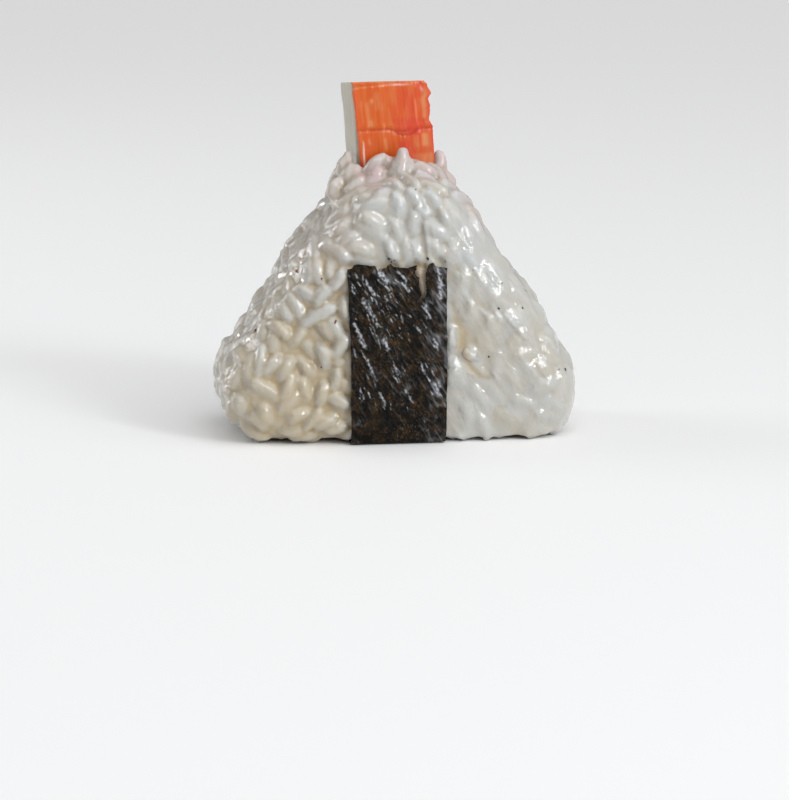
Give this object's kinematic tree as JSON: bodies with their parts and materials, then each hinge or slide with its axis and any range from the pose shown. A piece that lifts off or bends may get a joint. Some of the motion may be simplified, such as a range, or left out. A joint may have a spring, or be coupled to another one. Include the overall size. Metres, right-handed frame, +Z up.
{
  "type": "onigiri rice ball",
  "caption": "Triangular pressed rice ball with a dark seaweed strip round its middle and a flat red and white fish stick standing in its top.",
  "frame": {"origin": "middle of the bounding box on the plane the ball stands on", "axes": "+Z up, the front face with the torn strip towards -Y, +X to the right seen from the front"},
  "size_m": [0.0831, 0.0418, 0.0819],
  "materials": {
    "rice": "moist cooked rice, soft sheen",
    "nori": "wrinkled dried seaweed, thin glossy streaks",
    "white_flesh": "moist, slightly see-through",
    "red_skin": "moist, streaked along its length"
  },
  "bodies": {
    "root": {"rice_ball": "rice", "nori_strip": "nori", "crab_stick_flesh": "white_flesh", "crab_stick_skin": "red_skin"}
  },
  "joints": []
}
